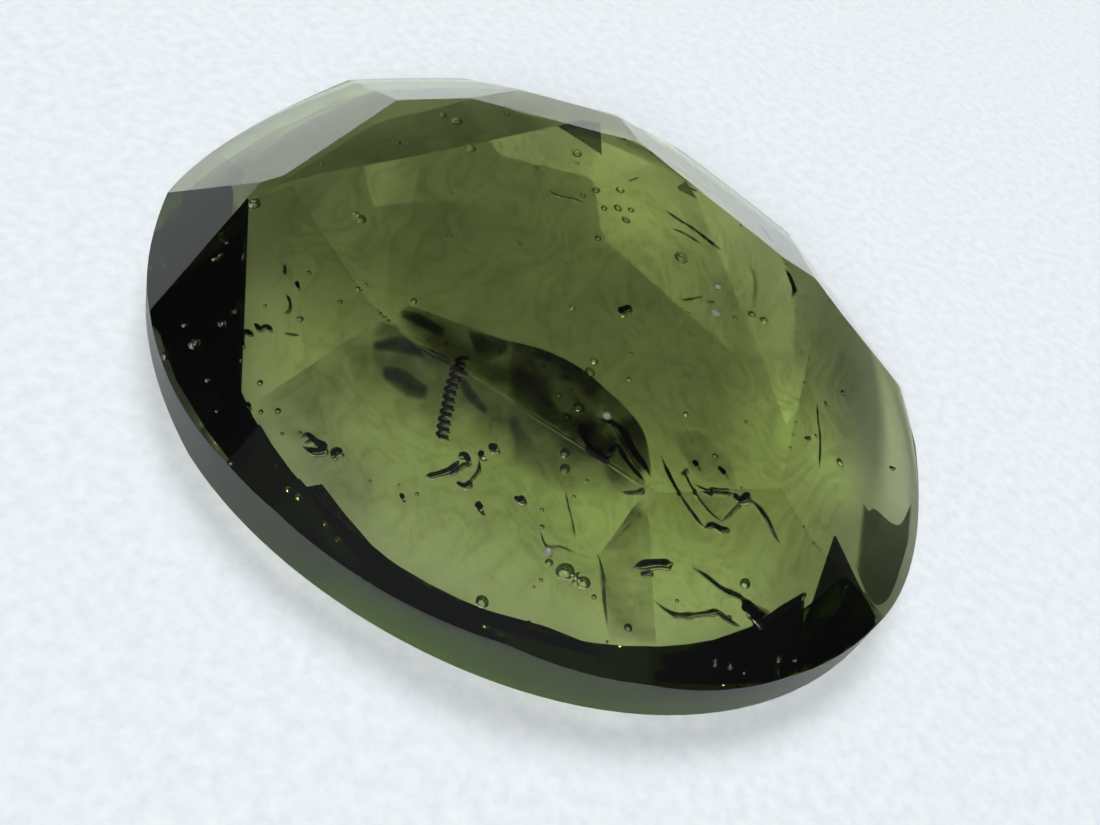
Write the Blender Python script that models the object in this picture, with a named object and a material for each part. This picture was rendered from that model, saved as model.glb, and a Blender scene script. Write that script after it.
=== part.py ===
"""A faceted oval of moldavite, the green natural glass: one solid, cut and polished by hand.

Metres, +Z up. The origin is the middle of the flat underside, X runs along the stone's length.
Azimuths are degrees round +Z from +X. A facet's tilt is its angle from level, and its reach is
how far from the axis its plane crosses the girdle's upper edge.
"""

import math

import bmesh
import bpy
from mathutils import Vector

MM = 0.001

# Outline seen from above: a circle, pulled into an oval, a slight egg and a slight square
MEAN_RADIUS = 7.0 * MM
OVAL = 0.32 * MM
EGG = 0.07 * MM
SQUARE = 0.038 * MM
SQUARE_AZIMUTH = -14.5
OUTLINE_STEPS = 144

# Heights, from the underside up
UNDERSIDE_DEPTH = 0.35 * MM
GIRDLE_HEIGHT = 0.82 * MM
CROWN_HEIGHT = 1.40 * MM
GIRDLE_TOP = UNDERSIDE_DEPTH + GIRDLE_HEIGHT
TABLE_TOP = GIRDLE_TOP + CROWN_HEIGHT

# A shallow bevel runs all round the flat underside. Its inner edge is a rounded outline of its own:
# a mean distance from the axis, pushed to one side and pulled into an oval
BEVEL_TILT = 12.5
BEVEL_STEPS = 72
UNDERSIDE_RADIUS = 5.63 * MM
UNDERSIDE_PUSH = 0.15 * MM
UNDERSIDE_PUSH_AZIMUTH = 14.0
UNDERSIDE_OVAL = 0.20 * MM
UNDERSIDE_OVAL_AZIMUTH = -3.0

# Crown facets: name, azimuth, tilt, reach in millimetres
CROWN_FACETS = (
    ("left end grey facet", 196.9, 34.8, 6.73),
    ("far left facet", 162.1, 28.3, 7.20),
    ("far sliver", 135.0, 17.0, 8.61),
    ("far sliver edge", 135.0, 34.0, 6.93),
    ("far facet", 107.0, 16.0, 8.96),
    ("far facet edge", 118.0, 34.0, 6.93),
    ("far lune", 92.0, 26.2, 6.61),
    ("right shoulder", 51.4, 16.0, 8.92),
    ("right shoulder edge", 69.0, 37.0, 6.38),
    ("right end facet", 28.0, 29.4, 6.61),
    ("right end lune", 42.0, 46.0, 6.82),
    ("near right facet", -11.4, 36.9, 7.22),
    ("near right middle", -28.9, 32.4, 7.03),
    ("near middle facet", -45.2, 32.3, 6.94),
    ("near long facet", -73.0, 25.9, 6.55),
    ("near left middle", -87.3, 26.8, 6.65),
    ("near left facet", -101.3, 28.6, 6.61),
    ("left end facet", -125.7, 38.3, 6.89),
)

# Flats ground across the bevel: name, azimuth, tilt, millimetres from the axis to the edge
# that each makes on the underside
LOWER_FLATS = (
    ("left end flat", -128.5, 18.0, 5.04),
    ("far left flat", 171.8, 7.2, 4.58),
    ("right flat", 57.3, 6.8, 3.72),
)

GLASS_COLOUR = (0.17, 0.24, 0.06, 1.0)
GLASS_IOR = 1.49
MERGE = 0.005 * MM
# A face this near to upright belongs to the girdle's wall, which is round
WALL_NORMAL_Z = 0.02


def outline_radius(azimuth):
    """Distance from the axis to the girdle at an azimuth in radians."""
    square_turn = 4 * (azimuth - math.radians(SQUARE_AZIMUTH))
    return (
        MEAN_RADIUS
        + OVAL * math.cos(2 * azimuth)
        + EGG * math.cos(3 * azimuth)
        + SQUARE * math.cos(square_turn)
    )


def shape_outline(verts, height):
    """Moves a ring of points onto the girdle's outline, at a height."""
    for vert in verts:
        azimuth = math.atan2(vert.co.y, vert.co.x)
        radius = outline_radius(azimuth)
        vert.co = Vector((radius * math.cos(azimuth), radius * math.sin(azimuth), height))


def underside_reach(azimuth):
    """Distance from the axis to the bevel's inner edge, at an azimuth in radians."""
    push_turn = azimuth - math.radians(UNDERSIDE_PUSH_AZIMUTH)
    oval_turn = 2 * (azimuth - math.radians(UNDERSIDE_OVAL_AZIMUTH))
    push = UNDERSIDE_PUSH * math.cos(push_turn)
    return UNDERSIDE_RADIUS + push + UNDERSIDE_OVAL * math.cos(oval_turn)


def grind(mesh, point, normal):
    """Takes away everything in front of a plane and closes the cut with one flat face."""
    parts = mesh.verts[:] + mesh.edges[:] + mesh.faces[:]
    cut = bmesh.ops.bisect_plane(
        mesh, geom=parts, dist=1e-9, plane_co=point, plane_no=normal, clear_outer=True
    )
    rim = [item for item in cut["geom_cut"] if isinstance(item, bmesh.types.BMEdge)]
    if rim:
        bmesh.ops.edgeloop_fill(mesh, edges=rim)


def leaning_normal(azimuth, tilt, side):
    """The outward normal of a facet above (side 1) or below (side -1) the girdle."""
    level = Vector((math.cos(azimuth), math.sin(azimuth), 0.0)) * math.sin(tilt)
    return level + Vector((0.0, 0.0, side * math.cos(tilt)))


def grind_crown_facet(mesh, azimuth, tilt, reach):
    point = Vector((reach * math.cos(azimuth), reach * math.sin(azimuth), GIRDLE_TOP))
    grind(mesh, point, leaning_normal(azimuth, tilt, 1))


def grind_lower_facet(mesh, azimuth, tilt, reach):
    point = Vector((reach * math.cos(azimuth), reach * math.sin(azimuth), 0.0))
    grind(mesh, point, leaning_normal(azimuth, tilt, -1))


def glass_material():
    material = bpy.data.materials.new("moldavite_glass")
    material.use_nodes = True
    shader = material.node_tree.nodes["Principled BSDF"]
    shader.inputs["Base Color"].default_value = GLASS_COLOUR
    shader.inputs["Metallic"].default_value = 0.0
    shader.inputs["Roughness"].default_value = 0.03
    shader.inputs["IOR"].default_value = GLASS_IOR
    shader.inputs["Transmission Weight"].default_value = 1.0
    material.diffuse_color = GLASS_COLOUR
    return material


def build_stone(collection):
    mesh = bmesh.new()
    bmesh.ops.create_circle(mesh, cap_ends=True, radius=MEAN_RADIUS, segments=OUTLINE_STEPS)
    top = mesh.faces[:][0]
    shape_outline(top.verts, TABLE_TOP)
    grown = bmesh.ops.extrude_face_region(mesh, geom=[top])
    for vert in [item for item in grown["geom"] if isinstance(item, bmesh.types.BMVert)]:
        vert.co.z = 0.0
    bmesh.ops.recalc_face_normals(mesh, faces=mesh.faces[:])

    for _, azimuth, tilt, reach in CROWN_FACETS:
        grind_crown_facet(mesh, math.radians(azimuth), math.radians(tilt), reach * MM)
    for _, azimuth, tilt, reach in LOWER_FLATS:
        grind_lower_facet(mesh, math.radians(azimuth), math.radians(tilt), reach * MM)
    for step in range(BEVEL_STEPS):
        azimuth = math.tau * step / BEVEL_STEPS
        grind_lower_facet(mesh, azimuth, math.radians(BEVEL_TILT), underside_reach(azimuth))
    bmesh.ops.remove_doubles(mesh, verts=mesh.verts[:], dist=MERGE)
    bmesh.ops.recalc_face_normals(mesh, faces=mesh.faces[:])
    for face in mesh.faces:
        face.smooth = abs(face.normal.z) < WALL_NORMAL_Z

    data = bpy.data.meshes.new("moldavite")
    mesh.to_mesh(data)
    mesh.free()
    data.materials.append(glass_material())
    stone = bpy.data.objects.new("moldavite", data)
    collection.objects.link(stone)
    return stone


def main():
    for old in list(bpy.data.objects):
        bpy.data.objects.remove(old, do_unlink=True)
    collection = bpy.data.collections.new("moldavite_cut_stone")
    bpy.context.scene.collection.children.link(collection)
    build_stone(collection)


main()
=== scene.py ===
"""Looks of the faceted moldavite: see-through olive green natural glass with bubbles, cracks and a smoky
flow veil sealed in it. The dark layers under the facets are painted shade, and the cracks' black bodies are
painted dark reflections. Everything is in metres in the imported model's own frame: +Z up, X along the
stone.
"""

import math

import bmesh
import bpy
from mathutils import Matrix, Vector, noise
from mathutils.bvhtree import BVHTree


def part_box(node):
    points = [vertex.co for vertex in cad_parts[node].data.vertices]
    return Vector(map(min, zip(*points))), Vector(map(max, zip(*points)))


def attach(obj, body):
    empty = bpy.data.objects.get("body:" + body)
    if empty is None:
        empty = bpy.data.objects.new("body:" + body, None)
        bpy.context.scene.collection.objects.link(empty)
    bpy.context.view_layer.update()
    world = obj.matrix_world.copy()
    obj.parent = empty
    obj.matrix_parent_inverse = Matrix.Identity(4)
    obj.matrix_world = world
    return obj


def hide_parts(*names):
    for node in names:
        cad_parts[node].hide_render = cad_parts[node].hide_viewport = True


MM = 0.001
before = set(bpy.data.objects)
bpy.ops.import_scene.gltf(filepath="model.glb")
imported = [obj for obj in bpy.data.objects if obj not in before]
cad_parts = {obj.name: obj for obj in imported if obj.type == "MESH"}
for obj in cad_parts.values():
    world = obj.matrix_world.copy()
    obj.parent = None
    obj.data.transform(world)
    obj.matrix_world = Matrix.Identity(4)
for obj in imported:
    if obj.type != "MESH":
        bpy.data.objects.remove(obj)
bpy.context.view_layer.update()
CAD_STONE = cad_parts["moldavite"]
TABLE_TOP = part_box("moldavite")[1].z
CROWN_HEIGHT = 1.40 * MM
GIRDLE_TOP = TABLE_TOP - CROWN_HEIGHT

# The photograph: where the camera stood and what it saw
PHOTO_WIDTH, PHOTO_HEIGHT = 1100, 825
PHOTO_FOCAL_PIXELS = 1150
CAMERA_AZIMUTH = -62.0
CAMERA_ELEVATION = 45.0
CAMERA_ROLL = 24.0
CAMERA_DISTANCE = 18.9 * MM
SENSOR_WIDTH_MM = 36.0
# The camera looks at a point on the girdle's level, a little to the right of the stone's middle and nearer
LOOKED_AT_RIGHT = 0.49 * MM
LOOKED_AT_NEARER = 2.21 * MM
# One pixel of the photograph at the stone's distance
PIXEL = CAMERA_DISTANCE / PHOTO_FOCAL_PIXELS


def linear(hex_colour):
    """An sRGB hex colour as linear RGBA."""
    channels = [int(hex_colour[i : i + 2], 16) / 255 for i in (1, 3, 5)]
    bent = [c / 12.92 if c <= 0.04045 else ((c + 0.055) / 1.055) ** 2.4 for c in channels]
    return (*bent, 1.0)


def add_node(tree, kind, settings=None, links=None):
    """Adds a node, sets its properties and sockets, and links its inputs."""
    node = tree.nodes.new(kind)
    for name, value in (settings or {}).items():
        if isinstance(name, str) and hasattr(node, name):
            setattr(node, name, value)
        else:
            node.inputs[name].default_value = value
    for name, output in (links or {}).items():
        tree.links.new(output, node.inputs[name])
    return node


def new_material(name):
    material = bpy.data.materials.new(name)
    material.use_nodes = True
    material.node_tree.nodes.clear()
    return material, material.node_tree


def azimuth_vector(azimuth, elevation=0.0):
    turn, rise = math.radians(azimuth), math.radians(elevation)
    return Vector((math.cos(rise) * math.cos(turn), math.cos(rise) * math.sin(turn), math.sin(rise)))


def smooth_step(low, high, value):
    share = min(max((value - low) / (high - low), 0.0), 1.0)
    return share * share * (3 - 2 * share)


def both_ends(share, part):
    """1 in the middle of a stretch, falling smoothly to 0 over a part of it at both ends."""
    return smooth_step(0.0, part, share) * smooth_step(0.0, part, 1 - share)


def camera_axes():
    """The directions right, up and forward of the camera, with its roll."""
    forward = -azimuth_vector(CAMERA_AZIMUTH, CAMERA_ELEVATION)
    level = forward.cross(Vector((0, 0, 1))).normalized()
    above = level.cross(forward)
    roll = math.radians(CAMERA_ROLL)
    right = math.cos(roll) * level + math.sin(roll) * above
    up = -math.sin(roll) * level + math.cos(roll) * above
    return right, up, forward


CAMERA_RIGHT, CAMERA_UP, CAMERA_FORWARD = camera_axes()
LEVEL_RIGHT = azimuth_vector(CAMERA_AZIMUTH + 90)
TOWARDS_CAMERA = azimuth_vector(CAMERA_AZIMUTH)
LOOKED_AT = LEVEL_RIGHT * LOOKED_AT_RIGHT + TOWARDS_CAMERA * LOOKED_AT_NEARER + Vector((0, 0, GIRDLE_TOP))
CAMERA_PLACE = LOOKED_AT - CAMERA_FORWARD * CAMERA_DISTANCE


def make_camera():
    data = bpy.data.cameras.new("camera")
    data.sensor_width = SENSOR_WIDTH_MM
    data.lens = SENSOR_WIDTH_MM * PHOTO_FOCAL_PIXELS / PHOTO_WIDTH
    data.clip_start = 1 * MM
    data.clip_end = 10.0
    camera = bpy.data.objects.new("camera", data)
    turn = Matrix((CAMERA_RIGHT, CAMERA_UP, -CAMERA_FORWARD)).transposed()
    camera.matrix_world = Matrix.Translation(CAMERA_PLACE) @ turn.to_4x4()
    bpy.context.scene.collection.objects.link(camera)
    bpy.context.scene.camera = camera


# Moldavite is a natural glass, IOR 1.48 to 1.51. Iron makes it olive green: it takes out blue first, then
# a little red. Here is the colour that it lets through, and how much a metre of it takes out
GLASS_IOR = 1.49
OLIVE_GREEN = ("#E9FA60", 330.0)
# Clear glass lets all light through. Its colour comes only from what its inside takes out
CLEAR_GLASS = {"Base Color": (1, 1, 1, 1), "Roughness": 0.0, "IOR": GLASS_IOR, "Transmission Weight": 1.0}
# Hand polishing leaves faint waves. The girdle was ground with grit that leaves pits of about 0.01 mm. They
# are drawn three times as coarse, so that they show
WAVE_SIZE, WAVE_HEIGHT = 0.6 * MM, 0.0012 * MM
PIT_SIZE, PIT_DEPTH = 0.03 * MM, 0.002 * MM


def glass_material(name, surface, absorbed=None, lumps=None, relief=None):
    """A glass. surface holds the settings of its shader, and absorbed the colour that its inside lets
    through with how much a metre takes out. lumps and relief are the noise on it and how far it stands
    out."""
    material, tree = new_material(name)
    surface_links = {}
    if lumps:
        place = add_node(tree, "ShaderNodeTexCoord")
        pattern = add_node(tree, "ShaderNodeTexNoise", lumps, {"Vector": place.outputs["Object"]})
        bump = add_node(tree, "ShaderNodeBump", relief, {"Height": pattern.outputs["Fac"]})
        surface_links["Normal"] = bump.outputs["Normal"]
    wall = add_node(tree, "ShaderNodeBsdfPrincipled", surface, surface_links)
    ends = {"Surface": wall.outputs["BSDF"]}
    if absorbed:
        colour, per_metre = absorbed
        inside = add_node(
            tree, "ShaderNodeVolumeAbsorption", {"Color": linear(colour), "Density": per_metre}
        )
        ends["Volume"] = inside.outputs["Volume"]
    add_node(tree, "ShaderNodeOutputMaterial", links=ends)
    return material


def moldavite_polished():
    """Facets polished on a lap: clear and sharp, with the faint waves of hand polishing."""
    waves = {"Scale": 1 / WAVE_SIZE, "Detail": 2.0, "Roughness": 0.5}
    relief = {"Strength": 1.0, "Distance": WAVE_HEIGHT}
    return glass_material("moldavite_polished", CLEAR_GLASS, OLIVE_GREEN, waves, relief)


def moldavite_ground():
    """The girdle, ground with fine grit and not polished: a grey, frosted band."""
    frosted = {**CLEAR_GLASS, "Roughness": 0.38}
    pits = {"Scale": 1 / PIT_SIZE, "Detail": 3.0, "Roughness": 0.7}
    relief = {"Strength": 0.6, "Distance": PIT_DEPTH}
    return glass_material("moldavite_ground_girdle", frosted, OLIVE_GREEN, pits, relief)


def sealed_air():
    """A bubble's or a crack's wall, seen from the glass: it has no colour of its own."""
    return glass_material("sealed_air", CLEAR_GLASS)


def smoke_and_shade_glass(name, colour, per_metre):
    """A layer of the same glass that takes out more light: the smoky flow veil, and the dark layers that
    are painted shade and painted dark reflections. Its IOR against the glass round it is 1, so it bends and
    mirrors nothing."""
    return glass_material(name, {**CLEAR_GLASS, "IOR": 1.0}, (colour, per_metre))


def add_piece(name, mesh, materials):
    """Turns a finished mesh into a piece of the stone."""
    data = bpy.data.meshes.new(name)
    mesh.to_mesh(data)
    mesh.free()
    for material in materials:
        data.materials.append(material)
    piece = bpy.data.objects.new(name, data)
    bpy.context.scene.collection.objects.link(piece)
    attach(piece, "root")
    return piece


def smooth_faces(mesh):
    for face in mesh.faces:
        face.smooth = True


# Points nearer than MERGE are one point, and triangles of one facet meet at less than FLAT_EDGE_DEGREES.
# The girdle's wall is the only part that stands upright. The wall and the bevel are round, so the edges
# between their strips turn less than the smallest angle between two facets
MERGE = 0.0005 * MM
FLAT_EDGE_DEGREES = 0.05
ROUND_EDGE_DEGREES = 3.6
WALL_NORMAL_Z = 0.02


def make_stone():
    """The CAD solid with its triangles joined into whole facets again, and the ground girdle apart."""
    mesh = bmesh.new()
    mesh.from_mesh(CAD_STONE.data)
    bmesh.ops.remove_doubles(mesh, verts=mesh.verts[:], dist=MERGE)
    flat = math.radians(FLAT_EDGE_DEGREES)
    bmesh.ops.dissolve_limit(mesh, angle_limit=flat, verts=mesh.verts[:], edges=mesh.edges[:])
    bmesh.ops.recalc_face_normals(mesh, faces=mesh.faces[:])
    smooth_faces(mesh)
    for face in mesh.faces:
        face.material_index = 1 if abs(face.normal.z) < WALL_NORMAL_Z else 0
    for edge in mesh.edges:
        edge.smooth = edge.calc_face_angle(math.pi) < math.radians(ROUND_EDGE_DEGREES)
    stone = add_piece("cut_stone", mesh, [moldavite_polished(), moldavite_ground()])
    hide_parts("moldavite")


def cad_tree():
    mesh = bmesh.new()
    mesh.from_mesh(CAD_STONE.data)
    tree = BVHTree.FromBMesh(mesh)
    mesh.free()
    return tree


# What is sealed in the glass is placed by looking into the stone. The look for the far wall starts just
# inside the facet. A patch of the painted shade is at least MIN_DEPTH behind the facet. The shares say how
# much of the way to the far wall a thing may take
STONE_TREE = cad_tree()
JUST_INSIDE = 0.001 * MM
MIN_DEPTH = 0.05 * MM
PATCH_FAR_SHARE = 0.93
SEALED_FAR_SHARE = 0.6
LAYER_FAR_SHARE = 0.9


def enter_glass(x, y):
    """Where a pixel of the photograph meets the stone, its bent line of sight, and the way to the far
    wall along it."""
    ray = CAMERA_FORWARD * PHOTO_FOCAL_PIXELS
    ray += CAMERA_RIGHT * (x - PHOTO_WIDTH / 2) - CAMERA_UP * (y - PHOTO_HEIGHT / 2)
    ray.normalize()
    place, normal, _, _ = STONE_TREE.ray_cast(CAMERA_PLACE, ray)
    if place is None:
        raise ValueError(f"pixel {x}, {y} misses the stone")
    cosine = -ray.dot(normal)
    # Snell's law: the square of the bent line's cosine with the facet's normal
    bent_square = 1 - (1 - cosine * cosine) / GLASS_IOR**2
    bent = (ray + normal * cosine) / GLASS_IOR - normal * math.sqrt(bent_square)
    far_wall = STONE_TREE.ray_cast(place + bent * JUST_INSIDE, bent)[3]
    return place, bent, far_wall


def into_glass(x, y, height):
    """The point at a height in the stone, or just short of its far wall, that a pixel of the photograph
    shows through the facet in front of it."""
    place, bent, far_wall = enter_glass(x, y)
    reach = max((height - place.z) / bent.z, MIN_DEPTH)
    return place + bent * min(reach, PATCH_FAR_SHARE * far_wall)


def behind_facet(x, y, depth):
    """The point at a depth behind the facet, along a pixel's line of sight."""
    place, bent, far_wall = enter_glass(x, y)
    return place + bent * min(depth, SEALED_FAR_SHARE * far_wall)


def spread(points, count):
    """Evenly spread points on the straight pieces between the given ones."""
    points = [Vector(point) for point in points]
    lengths = [0.0]
    for start, end in zip(points, points[1:]):
        lengths.append(lengths[-1] + (end - start).length)
    result = []
    piece = 0
    for step in range(count):
        wanted = lengths[-1] * step / (count - 1)
        while piece < len(points) - 2 and lengths[piece + 1] < wanted:
            piece += 1
        share = (wanted - lengths[piece]) / (lengths[piece + 1] - lengths[piece])
        result.append(points[piece].lerp(points[piece + 1], share))
    return result


# Steps of a smooth curve between two of its given points, before they are spread evenly
CURVE_STEPS = 12


def smooth_line(points, count):
    """Evenly spread points on the smooth curve through the given ones."""
    points = [Vector(point) for point in points]
    ends = [2 * points[0] - points[1], *points, 2 * points[-1] - points[-2]]
    fine = []
    for before, start, end, after in zip(ends, ends[1:], ends[2:], ends[3:]):
        slope = end - before
        bend = 2 * before - 5 * start + 4 * end - after
        twist = 3 * start - before - 3 * end + after
        for step in range(CURVE_STEPS):
            t = step / CURVE_STEPS
            fine.append(0.5 * (2 * start + slope * t + bend * t * t + twist * t**3))
    fine.append(points[-1])
    return spread(fine, count)


def crumple(point, scale, octaves):
    """A few octaves of smooth noise, from about -1 to 1."""
    return noise.fractal(Vector(point) / scale, 1.0, 2.0, octaves)


# No darkening layer ends in a knife edge
LEAST_THICKNESS = 0.002 * MM


def close_layer(below, above):
    """One closed layer between a grid of points and the grid above it."""
    mesh = bmesh.new()
    rows, columns = len(below), len(below[0])
    low = [[mesh.verts.new(point) for point in row] for row in below]
    high = [[mesh.verts.new(point) for point in row] for row in above]
    for row in range(rows - 1):
        for column in range(columns - 1):
            corners = ((row, column), (row, column + 1), (row + 1, column + 1), (row + 1, column))
            mesh.faces.new([low[r][c] for r, c in corners])
            mesh.faces.new([high[r][c] for r, c in reversed(corners)])
    open_edges = [edge for edge in mesh.edges if len(edge.link_faces) == 1]
    bmesh.ops.bridge_loops(mesh, edges=open_edges)
    bmesh.ops.recalc_face_normals(mesh, faces=mesh.faces[:])
    smooth_faces(mesh)
    return mesh


def seen_layer(name, first, second, depth, thickness, material, rows):
    """A darkening layer just under the facets, used for the painted shade and for the flow veil, between
    two lines of pixels with as many points each. depth is how far it lies behind the facet on the line of
    sight. thickness takes the share of the way along the lines, the share of the way between them, and the
    pixel. The layer's walls lie along the line of sight, so its edges are sharp where it is thick."""
    near, far = [], []
    for row in range(rows):
        across = row / (rows - 1)
        near_row, far_row = [], []
        for column, (start, end) in enumerate(zip(first, second)):
            pixel = start.lerp(end, across)
            place, bent, far_wall = enter_glass(pixel.x, pixel.y)
            thick = max(thickness(column / (len(first) - 1), across, pixel), LEAST_THICKNESS)
            far_depth = min(depth + thick, LAYER_FAR_SHARE * far_wall)
            near_row.append(place + bent * min(depth, far_depth - LEAST_THICKNESS))
            far_row.append(place + bent * far_depth)
        near.append(near_row)
        far.append(far_row)
    add_piece(name, close_layer(far, near), [material])


# The painted shade in the middle: a dark layer low in the stone that stands in for the shade seen through
# the table. Its height from the underside, its thickness, and where it thins out towards the near edge,
# measured from the stone's axis. It ends in a soft rim, and flow creases cut into its top
SHADE_BASE = 0.45 * MM
SHADE_THICKNESS = 0.62 * MM
SHADE_FULL = 0.6 * MM
SHADE_GONE = 4.3 * MM
SHADE_REACH = 6.3 * MM
SHADE_RIM_STARTS = 0.93
SHADE_CREASE_SHARE, SHADE_CREASE_SIZE = 0.22, 1.1 * MM
SHADE_STEPS = 150
# Where it is thicker or thinner: the pixel, the patch's radius in millimetres, its share of the thickness
SHADE_PATCHES = (
    (650, 200, 1.9, -0.5), (805, 440, 1.2, -0.4), (845, 480, 1.0, -0.8), (290, 430, 1.2, 0.3),
    (330, 490, 1.2, 0.35), (480, 540, 1.8, -0.4), (420, 200, 1.5, 0.1),
)


def shade_thickness(disc, patches):
    """The painted shade's thickness at a point of a disc of radius 1."""
    place = disc * SHADE_REACH
    fade = 1 - smooth_step(SHADE_FULL, SHADE_GONE, place.dot(TOWARDS_CAMERA))
    for middle, radius, share in patches:
        distance = (place - middle).to_2d().length / radius
        fade += share * math.exp(-distance * distance)
    fade *= 1 - smooth_step(SHADE_RIM_STARTS, 1.0, disc.length)
    creases = 1 + SHADE_CREASE_SHARE * crumple(place, SHADE_CREASE_SIZE, 5)
    return SHADE_THICKNESS * max(fade, 0.0) * creases


def make_painted_shade_middle():
    """Painted shade under the table and the far facets, gone before the near edge, with flow creases: a
    dark layer that stands in for the shade seen there.
    """
    below, above = [], []
    patches = [(into_glass(x, y, SHADE_BASE), r * MM, share) for x, y, r, share in SHADE_PATCHES]
    steps = [2 * step / (SHADE_STEPS - 1) - 1 for step in range(SHADE_STEPS)]
    for y in steps:
        low_row, high_row = [], []
        for x in steps:
            # A square grid drawn onto a disc
            disc = Vector((x * math.sqrt(1 - y**2 / 2), y * math.sqrt(1 - x**2 / 2), 0))
            place = disc * SHADE_REACH
            height = SHADE_BASE + shade_thickness(disc, patches) + LEAST_THICKNESS
            low_row.append(place + Vector((0, 0, SHADE_BASE)))
            high_row.append(place + Vector((0, 0, height)))
        below.append(low_row)
        above.append(high_row)
    # Painted shade: a dark layer that stands in for the shade the table and the far facets show
    material = smoke_and_shade_glass("under_table_shade_moldavite", "#A49ABE", 1300.0)
    add_piece("painted_shade_middle", close_layer(below, above), [material])


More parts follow.
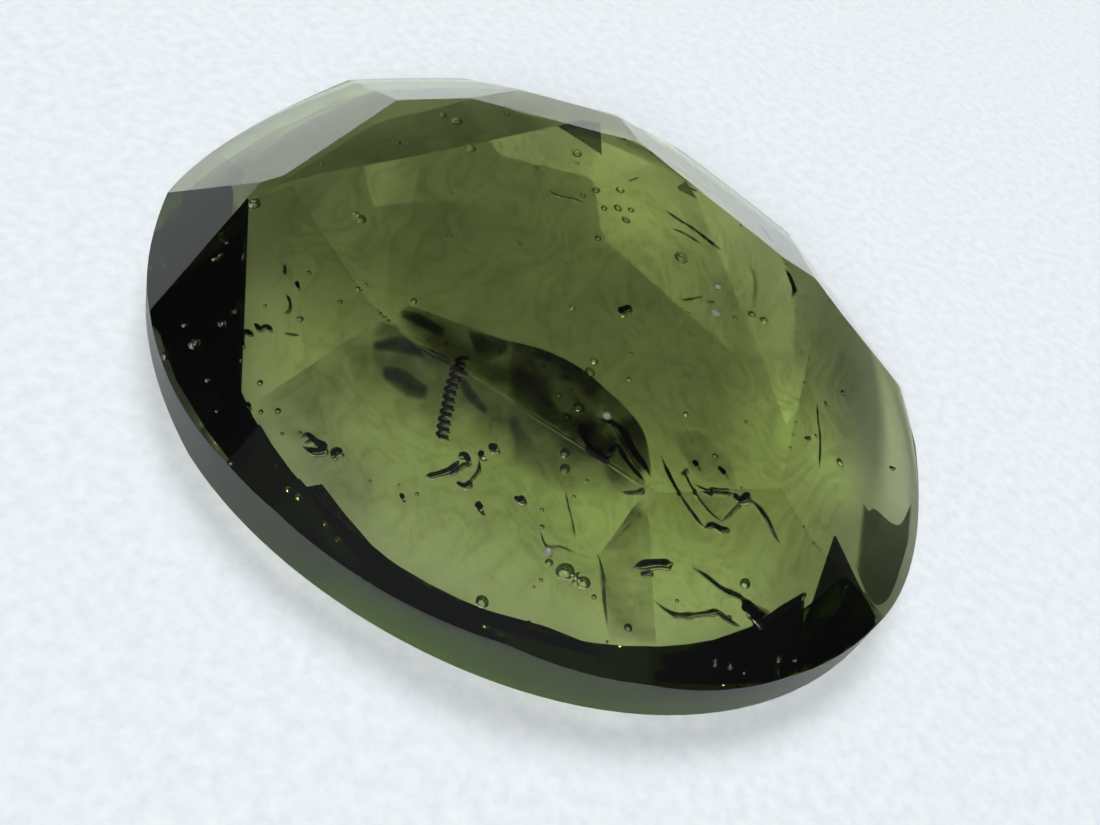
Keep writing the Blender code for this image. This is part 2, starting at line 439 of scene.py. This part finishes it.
# Painted shade: dark layers under the facets that stand in for the shade and dark reflections seen through
# them. Each has two edges in the photograph, the thickness in millimetres at each, the swell between them,
# and how much the flow bands cut into it
DARK_LAYERS = {
    # Painted shade under the table
    "shade_under_the_table": (
        (
            (394, 313), (412, 307), (458, 323), (504, 339), (545, 350), (581, 368), (606, 389), (627, 409),
            (644, 432), (652, 466),
        ),
        (
            (394, 326), (420, 343), (450, 362), (480, 382), (510, 401), (540, 421), (570, 440), (600, 459),
            (625, 475), (648, 490),
        ),
        0.3, 0.36, 0.08, 0.6,
    ),
    "black_stripe": (
        ((400, 309), (420, 314), (447, 330)),
        ((399, 316), (418, 327), (444, 339)),
        0.16, 0.04, 0.3, 0.2,
    ),
    "black_corner": (
        ((466, 330), (488, 335), (511, 343)),
        ((474, 352), (490, 361), (508, 352)),
        0.25, 0.04, 0.3, 0.2,
    ),
    "dark_crest": (
        ((505, 340), (545, 351), (581, 369), (606, 390), (627, 410), (644, 433), (651, 458)),
        ((505, 362), (545, 374), (578, 392), (600, 410), (618, 426), (634, 446), (646, 466)),
        0.3, 0.02, 0.1, 0.5,
    ),
    "dark_middle": (
        ((505, 345), (545, 356), (575, 372), (598, 392), (606, 404)),
        ((505, 398), (530, 414), (555, 430), (578, 444), (592, 446)),
        0.14, 0.1, 0.14, 0.6,
    ),
    # Painted shade along two cracks, in this layer and the next
    "small_crack_shade": (
        ((579, 422), (584, 437), (594, 450), (607, 458)),
        ((603, 420), (611, 428), (616, 440), (613, 452)),
        0.36, 0.24, 0.0, 0.4,
    ),
    "long_crack_shade": (
        ((606, 419), (617, 436), (630, 458), (640, 474)),
        ((633, 414), (643, 432), (649, 455), (652, 474)),
        0.36, 0.3, 0.0, 0.4,
    ),
    # Painted shade below the crease
    "shade_below_the_crease": (
        (
            (372, 330), (384, 322), (420, 344), (450, 363), (480, 383), (510, 402), (540, 422), (570, 441),
            (600, 460), (642, 489),
        ),
        (
            (306, 402), (334, 418), (382, 434), (430, 449), (480, 468), (525, 484), (560, 494), (590, 502),
            (612, 507), (630, 510),
        ),
        0.4, 0.0, -0.08, 0.6,
    ),
    "left_shade": (
        ((254, 403), (290, 379), (330, 352), (374, 323)),
        ((292, 446), (330, 440), (350, 425), (372, 400)),
        0.1, 0.0, 0.04, 0.6,
    ),
    "first_dark_band": (
        ((370, 342), (400, 336), (426, 351)),
        ((372, 351), (402, 354), (426, 360)),
        0.04, 0.04, 0.4, 0.1,
    ),
    "second_dark_band": (
        ((380, 366), (402, 369), (430, 388)),
        ((382, 379), (404, 396), (428, 401)),
        0.14, 0.02, 0.3, 0.2,
    ),
    "dark_streak": (
        ((463, 374), (476, 392), (490, 412)),
        ((454, 378), (468, 401), (486, 417)),
        0.04, 0.02, 0.3, 0.1,
    ),
    # Painted shade with a brown tint
    "brown_shade": (
        ((505, 402), (540, 424), (577, 447)),
        ((510, 468), (545, 486), (580, 498)),
        0.2, 0.0, 0.04, 0.6,
    ),
    "brown_wedge": (
        ((640, 497), (620, 526), (601, 553), (601, 590), (606, 625), (612, 650)),
        ((645, 497), (649, 526), (651, 553), (653, 590), (655, 625), (657, 652)),
        0.13, 0.12, 0.02, 0.7,
    ),
    "dark_tip": (
        ((640, 498), (622, 524), (601, 553)),
        ((644, 500), (640, 524), (634, 553)),
        0.18, 0.04, 0.0, 0.3,
    ),
    "brown_patch": (
        ((668, 432), (700, 432), (735, 462)),
        ((690, 470), (706, 482), (738, 492)),
        0.05, 0.03, 0.1, 0.6,
    ),
    # Painted shade round a crack
    "crack_blotch_shade": (
        ((742, 598), (756, 604), (772, 612)),
        ((746, 612), (758, 618), (768, 618)),
        0.15, 0.15, 0.2, 0.4,
    ),
    "far_strip": (
        ((262, 192), (290, 176), (330, 152), (376, 124), (430, 110), (478, 100), (520, 113), (556, 124)),
        ((252, 206), (272, 188), (319, 174), (368, 165), (421, 155), (470, 145), (520, 134), (558, 126)),
        0.1, 0.11, 0.0, 0.3,
    ),
    "left_step": (
        ((421, 156), (413, 200), (408, 222), (391, 237), (388, 275), (386, 310)),
        ((520, 150), (510, 200), (500, 232), (480, 260), (460, 290), (430, 312)),
        0.05, 0.0, 0.0, 0.5,
    ),
    "far_left_shade": (
        ((176, 200), (200, 180), (224, 162), (270, 133), (304, 118), (350, 92)),
        ((182, 203), (230, 186), (262, 150), (300, 122), (350, 102), (374, 92)),
        0.09, 0.02, 0.02, 0.1,
    ),
    "left_end_shade": (
        ((164, 213), (196, 199), (230, 188)),
        ((156, 284), (200, 248), (243, 213)),
        0.3, 0.34, 0.0, 0.4,
    ),
    "grey_corner": (
        ((862, 501), (869, 511), (875, 509), (898, 525), (913, 500)),
        ((855, 566), (866, 592), (877, 605), (892, 592), (910, 536)),
        0.36, 0.36, 0.0, 0.1,
    ),
    "far_edge_strip": (
        ((608, 132), (630, 141), (652, 152), (672, 163), (722, 198)),
        ((608, 136), (630, 148), (650, 159), (672, 171), (718, 203)),
        0.12, 0.04, 0.0, 0.2,
    ),
}
# Painted shade, the blackest parts: straight-edged black layers where the facets mirror the dark. Two
# edges, the depth behind the facet and the thickness in millimetres
BLACK_LAYERS = {
    "near_step": (
        ((322, 484), (345, 514), (372, 545), (410, 577), (450, 597), (490, 611), (545, 626), (600, 648)),
        ((300, 488), (325, 520), (354, 553), (395, 586), (440, 609), (488, 626), (543, 643), (600, 658)),
        0.1, 0.4,
    ),
    "black_notch": (
        ((660, 655), (685, 651), (710, 641), (750, 627), (765, 617), (780, 606), (804, 592)),
        ((672, 676), (690, 675), (715, 672), (750, 664), (765, 660), (780, 655), (802, 645)),
        0.25, 0.4,
    ),
    "black_triangle": (
        ((834, 536), (822, 572), (806, 620)),
        ((836, 536), (854, 574), (876, 618)),
        0.1, 0.3,
    ),
    "lower_right_band": (
        ((655, 670), (715, 670), (765, 655), (802, 638), (806, 618), (842, 618), (873, 616)),
        ((655, 682), (715, 685), (765, 683), (800, 677), (820, 668), (850, 652), (876, 624)),
        0.25, 0.4,
    ),
    "left_black": (
        ((155, 302), (162, 342), (176, 380), (205, 428), (232, 463), (246, 480)),
        ((243, 228), (241, 300), (237, 345), (241, 392), (249, 414), (258, 428)),
        0.5, 0.4,
    ),
    "far_triangle": (((558, 126), (580, 120), (600, 123)), ((560, 128), (586, 144), (602, 155)), 0.1, 0.12),
    "small_far_triangle": (((677, 187), (686, 181)), ((679, 190), (697, 199)), 0.1, 0.1),
}
DARK_DEPTH = 0.1 * MM
# A dark layer thins out over this share of its length at both ends
DARK_END_SHARE = 0.12
# A dark layer's points are two pixels apart along it
DARK_POINT_SPACING, DARK_LEAST_POINTS, DARK_ROWS = 2, 24, 40
BLACK_POINTS, BLACK_ROWS = 60, 16
# The flow bands: their direction across the picture, their width, and the swirls in them, in pixels
BAND_ACROSS, BAND_DOWN, BAND_WIDTH = -0.4, 0.62, 7.0
BAND_SWIRL, BAND_SWIRL_SIZE = 3.5, 60.0


def flow_bands(pixel):
    """Flowing bands down and across the picture, from 0 to 1."""
    swirl = crumple((pixel.x, pixel.y, 0), BAND_SWIRL_SIZE, 4)
    wave = math.sin((BAND_DOWN * pixel.y + BAND_ACROSS * pixel.x) / BAND_WIDTH + BAND_SWIRL * swirl)
    return 0.5 + 0.5 * wave


def shade_layer_thickness(first_height, second_height, swell, banding):
    """The thickness of one dark layer, as seen_layer asks for it."""

    def thickness(along, across, pixel):
        between = first_height + (second_height - first_height) * across
        between += swell * math.sin(math.pi * across)
        return between * MM * both_ends(along, DARK_END_SHARE) * (1 - banding * flow_bands(pixel))

    return thickness


def even_thickness(height):
    return lambda along, across, pixel: height * MM


def make_painted_shade_layers():
    """Painted shade: dark and black layers, each under its own facet."""
    # Painted shade: these layers darken what the facets show
    dark_shade = smoke_and_shade_glass("painted_shade_moldavite", "#7E7A70", 6000.0)
    for name, (first, second, *heights) in DARK_LAYERS.items():
        length = sum((Vector(b) - Vector(a)).length for a, b in zip(first, first[1:]))
        count = max(DARK_LEAST_POINTS, int(length / DARK_POINT_SPACING))
        edges = smooth_line(first, count), smooth_line(second, count)
        seen_layer(name, *edges, DARK_DEPTH, shade_layer_thickness(*heights), dark_shade, DARK_ROWS)
    # Painted shade: black layers where the facets mirror the dark
    black = smoke_and_shade_glass("painted_black_shade_moldavite", "#55555C", 12000.0)
    for name, (first, second, depth, height) in BLACK_LAYERS.items():
        edges = spread(first, BLACK_POINTS), spread(second, BLACK_POINTS)
        seen_layer(name, *edges, depth * MM, even_thickness(height), black, BLACK_ROWS)


# The flow veil: its outline across the picture from the far side to the near side, its depth, its least
# thickness, what the wrinkles add, and the shares of its length and width over which they fade out
VEIL_FAR = (
    (262, 205), (300, 178), (380, 126), (430, 112), (480, 103), (560, 124), (622, 144), (700, 195),
    (790, 265), (868, 378),
)
VEIL_NEAR = (
    (262, 420), (300, 458), (352, 520), (420, 578), (500, 610), (600, 636), (680, 644), (750, 622),
    (800, 585), (850, 500),
)
VEIL_DEPTH = 0.12 * MM
VEIL_THICKNESS, VEIL_WRINKLES = 0.002 * MM, 0.05 * MM
VEIL_END_SHARE, VEIL_SIDE_SHARE = 0.05, 0.08
VEIL_POINTS, VEIL_ROWS = 230, 150
# Its wrinkles run at a slant that wanders with the flow, in degrees and pixels. They are drawn out along
# the flow, and fine lumps lie between them
SLANT, SLANT_WANDERS, SLANT_WANDER_SIZE = -28, 40, 120.0
WRINKLE_STRETCH, WRINKLE_SIZE, LUMP_SIZE = 2.4, 34.0, 22.0


def wrinkles(pixel):
    """Ridged, drawn-out noise, from 0 to 1: the creases of glass that was bent over on itself while it
    flowed. Each of the three noises is read at a place of its own."""
    warp = crumple((pixel.x + 400, pixel.y, 0), SLANT_WANDER_SIZE, 2)
    turn = math.radians(SLANT + SLANT_WANDERS * warp)
    along = pixel.x * math.cos(turn) + pixel.y * math.sin(turn)
    across = pixel.y * math.cos(turn) - pixel.x * math.sin(turn)
    ridge = 1 - abs(crumple((along / WRINKLE_STRETCH, across, 3.0), WRINKLE_SIZE, 4))
    fine = 0.5 + 0.5 * crumple((pixel.x, pixel.y, 7.0), LUMP_SIZE, 4)
    return max(0.0, min(1.0, 1.2 * (ridge**6 - 0.1) + 0.5 * (fine - 0.5)))


def veil_thickness(along, across, pixel):
    edge = both_ends(along, VEIL_END_SHARE) * both_ends(across, VEIL_SIDE_SHARE)
    return VEIL_THICKNESS + VEIL_WRINKLES * edge * wrinkles(pixel)


def make_flow_veil():
    """The crumpled look all through moldavite: a thin smoky veil, thicker along its folds."""
    veil = smoke_and_shade_glass("wrinkled_moldavite", "#7E7A70", 6000.0)
    edges = smooth_line(VEIL_FAR, VEIL_POINTS), smooth_line(VEIL_NEAR, VEIL_POINTS)
    seen_layer("flow_veil", *edges, VEIL_DEPTH, veil_thickness, veil, VEIL_ROWS)


# Bubbles: x, y and width in the photograph's pixels, depth behind the facet in millimetres
BUBBLES = (
    (255, 204, 12, 0.54), (360, 219, 13, 0.67), (356, 214, 7, 0.61), (443, 115, 9, 0.74),
    (457, 121, 13, 0.74), (471, 148, 12, 0.67), (577, 153, 13, 0.74), (577, 163, 6, 0.74),
    (583, 195, 8, 0.8), (596, 190, 10, 0.8), (620, 190, 10, 0.8), (604, 208, 8, 0.86), (618, 208, 10, 0.8),
    (631, 210, 8, 0.8), (626, 220, 10, 0.8), (598, 238, 8, 0.93), (536, 168, 7, 0.86), (507, 113, 8, 0.86),
    (681, 258, 16, 0.67), (752, 314, 9, 0.8), (764, 320, 9, 0.8), (735, 318, 6, 0.8), (688, 313, 5, 0.8),
    (572, 308, 7, 0.67), (414, 301, 7, 0.61), (565, 469, 10, 0.8), (565, 572, 17, 0.93),
    (583, 583, 13, 0.93), (549, 563, 8, 0.93), (745, 584, 11, 0.99), (840, 463, 11, 0.86),
    (628, 628, 8, 1.12), (482, 602, 12, 1.25), (586, 580, 5, 0.93), (677, 601, 4, 0.99),
    (843, 393, 8, 0.93), (594, 361, 9, 0.8), (590, 372, 11, 0.99), (579, 407, 12, 1.06),
    (567, 417, 9, 1.06), (565, 453, 10, 1.06), (559, 395, 6, 0.8), (571, 390, 5, 0.8), (577, 400, 5, 0.8),
    (544, 366, 4, 0.74), (536, 370, 4, 0.74), (435, 330, 5, 0.74), (446, 344, 5, 0.74), (572, 410, 4, 0.74),
    (587, 481, 4, 0.86), (216, 259, 8, 0.15), (221, 255, 5, 0.15), (227, 243, 4, 0.15), (222, 324, 9, 0.15),
    (185, 325, 6, 0.15), (195, 344, 12, 0.15), (165, 356, 8, 0.15), (208, 380, 6, 0.15),
    (231, 463, 4, 0.15), (217, 411, 4, 0.15), (282, 434, 4, 0.86), (300, 433, 4, 0.86), (370, 481, 3, 0.86),
    (402, 496, 5, 0.93), (417, 494, 4, 0.93), (399, 485, 3, 0.93), (542, 510, 4, 0.93), (574, 497, 4, 0.93),
    (542, 527, 5, 0.93), (534, 587, 3, 1.06), (541, 580, 4, 1.06), (607, 642, 3, 0.15), (594, 597, 5, 1.06),
    (715, 663, 7, 0.15), (730, 666, 7, 0.15), (744, 672, 5, 0.15), (778, 658, 8, 0.15), (795, 659, 6, 0.15),
    (309, 273, 5, 0.67), (366, 285, 5, 0.67), (340, 302, 5, 0.67), (265, 306, 4, 0.67), (300, 319, 7, 0.8),
    (322, 165, 5, 0.74), (398, 143, 7, 0.93), (452, 193, 3, 0.61), (449, 236, 5, 0.67), (520, 244, 5, 0.67),
    (631, 354, 5, 0.74), (629, 379, 5, 0.74), (826, 404, 6, 0.99), (816, 436, 5, 0.99), (686, 414, 6, 0.74),
    (746, 422, 4, 0.74), (715, 456, 6, 0.74), (261, 412, 5, 0.86), (278, 411, 6, 0.86), (260, 383, 6, 0.93),
    (500, 352, 4, 0.67), (549, 358, 4, 0.67),
)
# Some bubbles are drawn out by up to this share. Those wider than this many pixels are finer meshes
BUBBLE_DRAWN = 0.25
WIDE_BUBBLE = 6
# Pale grains, not hollow, given in the same way, with the height and the size of their lumps
PALE_GRAINS = ((717, 287, 9, 0.3), (716, 314, 11, 0.3), (548, 552, 10, 0.3), (607, 416, 8, 0.06))
GRAIN_LUMP_HEIGHT, GRAIN_LUMP_SIZE = 0.01 * MM, 0.05 * MM
# How deep a ball's middle lies at least, in its own widths
LEAST_BALL_DEPTH = 0.6


def add_ball(mesh, x, y, width, depth, detail, stretch=(1.0, 1.0, 1.0)):
    centre = behind_facet(x, y, max(depth * MM, LEAST_BALL_DEPTH * width * PIXEL))
    tilt = noise.noise(centre / MM) * math.pi
    size = Matrix.Diagonal((*stretch, 1.0))
    matrix = Matrix.Translation(centre) @ Matrix.Rotation(tilt, 4, CAMERA_FORWARD) @ size
    bmesh.ops.create_icosphere(mesh, subdivisions=detail, radius=width * PIXEL / 2, matrix=matrix)


def make_bubbles():
    """Round and slightly drawn-out bubbles. Their walls face the air inside, as the glass shader needs."""
    mesh = bmesh.new()
    for index, (x, y, width, depth) in enumerate(BUBBLES):
        # The noise gives each bubble a stretch of its own, the same in each run
        drawn = 1.0 + BUBBLE_DRAWN * abs(noise.noise(Vector((index * 1.7, 0.3, 0.9))))
        detail = 3 if width > WIDE_BUBBLE else 2
        add_ball(mesh, x, y, width, depth, detail, (drawn, 1 / drawn, 1.0))
    bmesh.ops.reverse_faces(mesh, faces=mesh.faces[:])
    smooth_faces(mesh)
    add_piece("bubbles", mesh, [sealed_air()])


def pale_grit():
    """Unmelted quartz grains, lechatelierite: white and matt, in lumps."""
    material, tree = new_material("pale_quartz_grain")
    place = add_node(tree, "ShaderNodeTexCoord")
    links = {"Vector": place.outputs["Object"]}
    lumps = add_node(tree, "ShaderNodeTexNoise", {"Scale": 1 / GRAIN_LUMP_SIZE}, links)
    colours = add_node(tree, "ShaderNodeValToRGB", links={"Fac": lumps.outputs["Fac"]})
    dark, pale = colours.color_ramp.elements
    dark.color, pale.color = linear("#8F9484"), linear("#E4E6DC")
    links = {"Base Color": colours.outputs["Color"]}
    surface = add_node(tree, "ShaderNodeBsdfPrincipled", {"Roughness": 0.7}, links)
    add_node(tree, "ShaderNodeOutputMaterial", links={"Surface": surface.outputs["BSDF"]})
    return material


def make_grains():
    mesh = bmesh.new()
    for x, y, width, depth in PALE_GRAINS:
        add_ball(mesh, x, y, width, depth, 3)
    for vert in mesh.verts:
        lump = noise.noise(vert.co / GRAIN_LUMP_SIZE)
        vert.co += vert.co.normalized() * GRAIN_LUMP_HEIGHT * lump
    add_piece("pale_grains", mesh, [pale_grit()])


# The chain of tiny hollows is a spiral: the pixels it runs through, its turns and the points of each, and
# its radius and the wire's width in pixels
CHAIN_LINE = (
    (463, 357), (458, 366), (455, 376), (451, 386), (449, 396), (447, 408), (444, 420), (442, 437),
)
CHAIN_TURNS, CHAIN_TURN_POINTS = 11, 14
CHAIN_RADIUS, CHAIN_WIRE = 4.6, 3.4
# Cracks and drawn-out hollows: the pixels they run through, their width in pixels, and how flat they are
CRACKS = (
    (((301, 437), (307, 434), (316, 441), (324, 445), (321, 449), (311, 450), (302, 446)), 5, 0.4),
    (((304, 443), (312, 440), (319, 447)), 3, 0.4), (((331, 456), (336, 450), (343, 452)), 6, 0.5),
    (((425, 476), (438, 473), (451, 468), (459, 460)), 5, 0.4),
    (((458, 456), (464, 454), (471, 462)), 5, 0.5), (((479, 458), (478, 470), (466, 485)), 3, 0.4),
    (((456, 482), (465, 485), (472, 480)), 5, 0.5),
    (((447, 475), (456, 470), (464, 464), (471, 466)), 3, 0.4), (((478, 452), (484, 455)), 6, 0.6),
    (((488, 446), (498, 447)), 7, 0.6), (((476, 502), (482, 509)), 6, 0.5),
    (((514, 496), (519, 499), (525, 497)), 5, 0.4), (((400, 493), (404, 499)), 4, 0.5),
    (((240, 331), (247, 331), (254, 335)), 4, 0.4),
    (((254, 323), (260, 328), (266, 326), (273, 330)), 5, 0.4), (((285, 264), (284, 274)), 3, 0.4),
    (((286, 294), (290, 302), (289, 310), (284, 313)), 3, 0.3), (((296, 281), (299, 288)), 4, 0.5),
    (((284, 333), (300, 335)), 2, 0.4),
    (((664, 209), (678, 219), (694, 229), (712, 243), (722, 250)), 4, 0.3),
    (((671, 228), (684, 233), (700, 243)), 3, 0.3),
    (((548, 190), (560, 196), (575, 199), (586, 204)), 3, 0.3), (((628, 181), (640, 177)), 2, 0.4),
    (((690, 188), (697, 191)), 3, 0.4),
    (((579, 421), (584, 436), (592, 450), (604, 459), (611, 455)), 6, 0.4),
    (((611, 455), (611, 449), (617, 445), (623, 451)), 4, 0.4),
    (((617, 445), (628, 462), (638, 474), (645, 482)), 5, 0.3),
    (((596, 418), (612, 422), (624, 432), (632, 448), (645, 466), (650, 476)), 8, 0.2),
    (((661, 455), (666, 468), (674, 484), (684, 501), (696, 518), (706, 528)), 4, 0.35),
    (((704, 528), (712, 524), (720, 528), (730, 529)), 5, 0.4),
    (((683, 466), (688, 480), (698, 497), (710, 512), (722, 521)), 3, 0.3),
    (((694, 484), (708, 490), (722, 492), (734, 493)), 3, 0.35),
    (((733, 493), (740, 499), (750, 493)), 7, 0.5),
    (((750, 499), (760, 509), (769, 523), (774, 534), (780, 543)), 5, 0.25),
    (((722, 521), (736, 507), (743, 500)), 3, 0.3), (((684, 470), (682, 474), (688, 468)), 3, 0.3),
    (((693, 460), (698, 466)), 6, 0.5), (((718, 466), (726, 474)), 5, 0.4),
    (((633, 567), (645, 563), (660, 562), (674, 563)), 6, 0.3), (((640, 574), (652, 571)), 4, 0.4),
    (((692, 567), (705, 575), (722, 588), (736, 594), (750, 603), (765, 613)), 4, 0.35),
    (((655, 601), (665, 609), (676, 614), (694, 614),
      (708, 612), (717, 611), (728, 619), (740, 626)), 4, 0.35),
    (((717, 611), (724, 617), (732, 616)), 3, 0.4),
    (((742, 600), (750, 611), (758, 616), (766, 614)), 9, 0.4),
    (((598, 554), (603, 575), (604, 600), (607, 624)), 3, 0.25),
    (((540, 530), (546, 545), (560, 546), (574, 552)), 2, 0.3),
    (((565, 490), (568, 505), (572, 520), (575, 538)), 2, 0.25),
    (((785, 268), (790, 278), (794, 290), (791, 298)), 4, 0.4),
    (((757, 222), (766, 232), (771, 242)), 5, 0.4), (((645, 487), (636, 492), (622, 492)), 4, 0.3),
    (((680, 300), (694, 298), (702, 296)), 2, 0.4), (((618, 311), (631, 306)), 7, 0.5),
    (((706, 302), (714, 301)), 2, 0.4), (((817, 402), (818, 420), (820, 440), (819, 470)), 3, 0.4),
    (((811, 437), (804, 438)), 3, 0.5), (((889, 467), (896, 468)), 3, 0.4),
    (((235, 295), (233, 306), (231, 310)), 6, 0.5), (((243, 328), (241, 338), (244, 346)), 6, 0.5),
    (((238, 349), (240, 360)), 4, 0.5), (((246, 402), (251, 407)), 4, 0.5),
)
CRACK_SIDES = 8
CRACK_DEPTH = 0.2 * MM
# Points of a crack for each given pixel, how thin its tips are, how quickly it widens from them, and how
# much and how finely its width varies
CRACK_POINTS = 9
CRACK_TIP, CRACK_WIDENS = 0.15, 6
CRACK_UNEVEN, CRACK_UNEVEN_SIZE = 0.45, 0.12 * MM
# The bright hollow beside a crack: its width and how far away it lies, in the crack's widths, and the side
GLINT_WIDTH, GLINT_OFFSET = 0.6, 0.9
GLINT_SIDE = (CAMERA_RIGHT * 0.4 - CAMERA_UP).normalized()


def add_hollow(mesh, points, widths, flatness):
    """A closed, tapered tube with an oval section, along a line of points."""
    rings = []
    for index, (point, width) in enumerate(zip(points, widths)):
        ahead = points[min(index + 1, len(points) - 1)] - points[max(index - 1, 0)]
        side = ahead.cross(CAMERA_FORWARD).normalized()
        deep = side.cross(ahead).normalized()
        ring = []
        for step in range(CRACK_SIDES):
            turn = math.tau * step / CRACK_SIDES
            out = side * math.cos(turn) * width / 2 + deep * math.sin(turn) * width * flatness / 2
            ring.append(mesh.verts.new(point + out))
        rings.append(ring)
    for ring, after in zip(rings, rings[1:]):
        for step in range(CRACK_SIDES):
            other = (step + 1) % CRACK_SIDES
            mesh.faces.new([ring[step], ring[other], after[other], after[step]])
    mesh.faces.new(rings[0][::-1])
    mesh.faces.new(rings[-1])


def chain_hollow():
    """The points and widths of the spiral chain."""
    points = []
    pixels = smooth_line(CHAIN_LINE, CHAIN_TURNS * CHAIN_TURN_POINTS)
    for index, pixel in enumerate(pixels):
        turn = math.tau * CHAIN_TURNS * index / (len(pixels) - 1)
        centre = behind_facet(pixel.x, pixel.y, CRACK_DEPTH)
        swing = CAMERA_RIGHT * math.cos(turn) + CAMERA_FORWARD * math.sin(turn)
        points.append(centre + swing * CHAIN_RADIUS * PIXEL)
    return points, [CHAIN_WIRE * PIXEL] * len(points)


def crack_hollow(line, width):
    """The points and widths of a crack, which is thin at its tips and uneven between them."""
    points = [behind_facet(p.x, p.y, CRACK_DEPTH) for p in smooth_line(line, CRACK_POINTS * len(line))]
    widths = []
    for index, point in enumerate(points):
        share = index / (len(points) - 1)
        taper = min(1.0, CRACK_WIDENS * share, CRACK_WIDENS * (1 - share))
        taper = CRACK_TIP + (1 - CRACK_TIP) * taper
        rough = 1 + CRACK_UNEVEN * noise.noise(point / CRACK_UNEVEN_SIZE)
        widths.append(width * PIXEL * taper * rough)
    return points, widths


def make_cracks():
    """Cracks and hollows drawn out in the flow. They look black where their walls mirror the dark, so each
    has a black body, a painted dark reflection, and a thin hollow beside it that catches the light."""
    bodies, glints = bmesh.new(), bmesh.new()
    hollows = [(*chain_hollow(), 1)]
    hollows += [(*crack_hollow(line, width), flatness) for line, width, flatness in CRACKS]
    for points, widths, flatness in hollows:
        add_hollow(bodies, points, widths, flatness)
        beside = [point + GLINT_SIDE * GLINT_OFFSET * wide for point, wide in zip(points, widths)]
        add_hollow(glints, beside, [wide * GLINT_WIDTH for wide in widths], 1.0)
    for mesh in (bodies, glints):
        bmesh.ops.recalc_face_normals(mesh, faces=mesh.faces[:])
        smooth_faces(mesh)
    # Like the bubbles' walls, the glints' walls face the air inside
    bmesh.ops.reverse_faces(glints, faces=glints.faces[:])
    # The black bodies are painted dark reflections
    add_piece("cracks", bodies, [smoke_and_shade_glass("crack_painted_dark_reflection", "#1E1C16", 150000.0)])
    add_piece("crack_glints", glints, [sealed_air()])


# Soft lights: azimuth, elevation, radius and softness of the edge in degrees, brightness
ROOM_BRIGHTNESS = 0.06
SOFT_LIGHTS = (
    (138.0, 63.0, 12.0, 6.0, 7.6),
    (298.0, 37.0, 18.0, 8.0, 8.4),
    (300.0, 76.0, 34.0, 20.0, 0.25),
    (186.0, 8.0, 10.0, 6.0, 0.9),
)


def make_light():
    """A dim room with large soft lights above: each is a smooth disc of the sky."""
    world = bpy.data.worlds.new("soft_studio")
    bpy.context.scene.world = world
    world.use_nodes = True
    tree = world.node_tree
    tree.nodes.clear()
    place = add_node(tree, "ShaderNodeTexCoord")
    total = add_node(tree, "ShaderNodeValue")
    total.outputs[0].default_value = ROOM_BRIGHTNESS
    for azimuth, elevation, radius, softness, brightness in SOFT_LIGHTS:
        facing = add_node(
            tree,
            "ShaderNodeVectorMath",
            {"operation": "DOT_PRODUCT", 1: azimuth_vector(azimuth, elevation)},
            {0: place.outputs["Generated"]},
        )
        disc = add_node(
            tree,
            "ShaderNodeMapRange",
            {
                "interpolation_type": "SMOOTHSTEP",
                "From Min": math.cos(math.radians(radius + softness)),
                "From Max": math.cos(math.radians(radius - softness)),
                "To Max": brightness,
            },
            {"Value": facing.outputs["Value"]},
        )
        links = {0: disc.outputs["Result"], 1: total.outputs[0]}
        total = add_node(tree, "ShaderNodeMath", {"operation": "ADD"}, links)
    links = {"Strength": total.outputs[0]}
    sky = add_node(tree, "ShaderNodeBackground", {"Color": linear("#F6FAFC")}, links)
    add_node(tree, "ShaderNodeOutputWorld", links={"Surface": sky.outputs["Background"]})


# The felt's fibres are about 0.02 mm thick. They are drawn as tufts, so that they show
TUFT_SIZE = 0.25 * MM
FLOOR_SIZE = 2.0
# The floor lies this far under the stone, so that the two don't share a surface
FLOOR_GAP = 0.01 * MM


def make_floor():
    """Plain pale felt: matt, with the faint unevenness of its fibres."""
    material, tree = new_material("pale_felt_floor")
    place = add_node(tree, "ShaderNodeTexCoord")
    fibres = add_node(
        tree,
        "ShaderNodeTexNoise",
        {"Scale": 1 / TUFT_SIZE, "Detail": 6.0, "Roughness": 0.6},
        {"Vector": place.outputs["Object"]},
    )
    colours = add_node(tree, "ShaderNodeValToRGB", links={"Fac": fibres.outputs["Fac"]})
    dark, pale = colours.color_ramp.elements
    dark.position, dark.color = 0.3, linear("#E3E6E9")
    pale.position, pale.color = 0.7, linear("#F1F2F4")
    surface = add_node(
        tree,
        "ShaderNodeBsdfPrincipled",
        {"Roughness": 0.9, "Specular IOR Level": 0.2},
        {"Base Color": colours.outputs["Color"]},
    )
    add_node(tree, "ShaderNodeOutputMaterial", links={"Surface": surface.outputs["BSDF"]})
    bpy.ops.mesh.primitive_plane_add(size=FLOOR_SIZE, location=(0, 0, -FLOOR_GAP))
    floor = bpy.context.object
    floor.name = "floor"
    floor.data.materials.append(material)


# Light passes many walls of the glass before it leaves it
LIGHT_BOUNCES = 32

bpy.context.scene.view_settings.view_transform = "Standard"
bpy.context.scene.cycles.max_bounces = LIGHT_BOUNCES
bpy.context.scene.cycles.transmission_bounces = LIGHT_BOUNCES
make_camera()
make_floor()
make_light()
make_stone()
make_painted_shade_middle()
make_flow_veil()
make_painted_shade_layers()
make_bubbles()
make_grains()
make_cracks()
